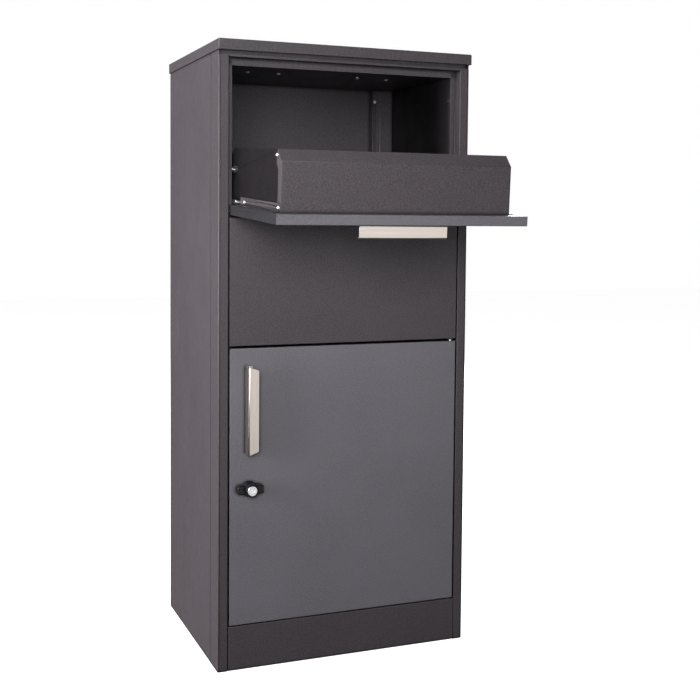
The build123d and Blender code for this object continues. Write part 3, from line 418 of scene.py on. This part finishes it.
def measure(solid, out):
    """Seat, head radius, head height, shank radius and shank length; out is where the head faces."""
    along = [point.dot(out) for point in solid]
    across = [point - out * height for point, height in zip(solid, along)]
    centre = Vector([(min(values) + max(values)) / 2 for values in zip(*across)])
    reach = [(point - centre).length for point in across]
    radius = max(reach)
    seat = min(height for height, far in zip(along, reach) if far > 0.97 * radius)
    tip = min(along)
    shank = max(far for height, far in zip(along, reach) if height < tip + 0.0002)
    return centre + out * seat, radius, max(along) - seat, shank, seat - tip


def ring(mesh, radius, height, flats=False, chamfer=0.0):
    """Points round Z. With flats it is a hexagon, whose corners drop by the chamfer's slope."""
    points = []
    for step in range(RING_STEPS):
        angle = math.tau * step / RING_STEPS
        reach = radius
        if flats:
            reach = radius * math.cos(math.pi / 6) / math.cos(angle % (math.pi / 3) - math.pi / 6)
        drop = chamfer * (reach / radius - math.cos(math.pi / 6))
        points.append(mesh.verts.new((reach * math.cos(angle), reach * math.sin(angle), height - drop)))
    return points


def join(mesh, rings):
    """Faces between each ring and the next."""
    for lower, upper in zip(rings, rings[1:]):
        for step in range(RING_STEPS):
            after = (step + 1) % RING_STEPS
            mesh.faces.new((lower[step], lower[after], upper[after], upper[step]))


def add_shank(mesh, radius, length):
    """A closed rod below the seat, and a closed helical thread wound on it."""
    core = radius - THREAD_PITCH * 0.5
    rod = [ring(mesh, core, height) for height in (0.0, -length)]
    join(mesh, rod)
    for end in rod:
        mesh.faces.new(end)
    root = core * THREAD_ROOT
    thread = ((root, 0.04), (core, 0.04), (radius, 0.42), (radius, 0.58), (core, 0.96), (root, 0.96))
    rows = []
    for step in range(max(0, int(length / THREAD_PITCH) - 1) * THREAD_STEPS + 1):
        angle = math.tau * step / THREAD_STEPS
        start = -length + THREAD_PITCH * step / THREAD_STEPS
        rows.append([mesh.verts.new((reach * math.cos(angle), reach * math.sin(angle),
                                     start + THREAD_PITCH * rise)) for reach, rise in thread])
    if len(rows) < 2:
        bmesh.ops.delete(mesh, geom=rows[0], context="VERTS")
        return
    for before, row in zip(rows, rows[1:]):
        for low in range(len(thread)):
            high = (low + 1) % len(thread)
            mesh.faces.new((before[low], row[low], row[high], before[high]))
    mesh.faces.new(rows[0])
    mesh.faces.new(rows[-1])


def pan_head(radius, height):
    """A domed head with a cross recess cut into it."""
    mesh = bmesh.new()
    dome = [(radius, 0.0), (radius, height * 0.35), (radius * 0.95, height * 0.62),
            (radius * 0.80, height * 0.84), (radius * 0.55, height * 0.95), (radius * 0.05, height)]
    rings = [ring(mesh, *point) for point in dome]
    join(mesh, rings)
    mesh.faces.new(rings[0])
    mesh.faces.new(rings[-1])
    bmesh.ops.recalc_face_normals(mesh, faces=mesh.faces)
    return cut(mesh, cross_recess(radius, height))


def cross_recess(radius, height):
    """Two crossing wedges, wide at the top of the head and narrow at the bottom of the recess."""
    mesh = bmesh.new()
    for long_side, short_side in ((0.58, 0.14), (0.14, 0.58)):
        corners = [(x * long_side * radius * scale, y * short_side * radius * scale, z * height)
                   for scale, z in ((0.55, 0.30), (1.0, 1.20))
                   for x, y in ((-1, -1), (1, -1), (1, 1), (-1, 1))]
        points = [mesh.verts.new(corner) for corner in corners]
        for face in ((3, 2, 1, 0), (4, 5, 6, 7), (0, 1, 5, 4), (1, 2, 6, 5), (2, 3, 7, 6), (3, 0, 4, 7)):
            mesh.faces.new([points[index] for index in face])
    return mesh


def cut(mesh, cutter):
    """The first mesh less the second."""
    whole, knife = (new_object(name, part) for name, part in (("whole", mesh), ("knife", cutter)))
    boolean = whole.modifiers.new("cut", "BOOLEAN")
    boolean.solver = "EXACT"
    boolean.use_self = True
    boolean.object = knife
    graph = bpy.context.evaluated_depsgraph_get()
    result = bmesh.new()
    result.from_object(whole, graph)
    for used in (whole, knife):
        bpy.data.objects.remove(used)
    return result


def hex_head(radius, height):
    """A chamfered hexagon with a flat washer face under it."""
    mesh = bmesh.new()
    rings = [ring(mesh, radius * 0.84, 0.0), ring(mesh, radius, height * 0.06, True),
             ring(mesh, radius, height * 0.94, True, height * 1.2), ring(mesh, radius * 0.82, height)]
    join(mesh, rings)
    mesh.faces.new(rings[0])
    mesh.faces.new(rings[-1])
    return mesh


def new_object(name, mesh):
    data = bpy.data.meshes.new(name)
    bmesh.ops.recalc_face_normals(mesh, faces=mesh.faces)
    mesh.to_mesh(data)
    mesh.free()
    piece = bpy.data.objects.new(name, data)
    bpy.context.scene.collection.objects.link(piece)
    return piece


def detailed_fasteners(node_name, outs, head, materials):
    """One piece with a detailed fastener where each solid of the node is."""
    piece_mesh = bmesh.new()
    for solid in separate_solids(node_name):
        middle_x = sum(point.x for point in solid) / len(solid)
        out = outs[0] if middle_x < 0 else outs[-1]
        seat, radius, height, shank, length = measure(solid, out)
        fastener = head(radius, height)
        if length > THREAD_PITCH:
            add_shank(fastener, shank, length)
        turn = out.to_track_quat("Z", "Y").to_matrix().to_4x4()
        bmesh.ops.transform(fastener, matrix=Matrix.Translation(seat) @ turn, verts=fastener.verts)
        part = bpy.data.meshes.new("part")
        fastener.to_mesh(part)
        fastener.free()
        piece_mesh.from_mesh(part)
        bpy.data.meshes.remove(part)
    piece = new_object(node_name + "_detail", piece_mesh)
    piece.data.shade_smooth()
    piece.modifiers.new("split", "EDGE_SPLIT").split_angle = THREAD_SPLIT
    slot = SLOTS[node_name]
    piece.data.materials.append(materials[slot])
    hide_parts(node_name)
    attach(piece, BODY_OF[node_name])


def make_fasteners(materials):
    for name, outs, head in (
            ("lid_screws", [DOWN], pan_head),
            ("rear_post_screws", [FRONT], pan_head),
            ("panel_screws", [BACK], pan_head),
            ("tray_screws", [LEFT, RIGHT], pan_head),
            ("door_handle_screws", [BACK], pan_head),
            ("flap_handle_screws", [INWARD], pan_head),
            ("lock_cam_screw", [BACK], hex_head),
            ("tray_stop_bolts", [RIGHT, LEFT], hex_head)):
        detailed_fasteners(name, outs, head, materials)


make_camera()
make_studio()
materials = make_materials()
paint_nodes(materials)
soften_edges()
make_fasteners(materials)
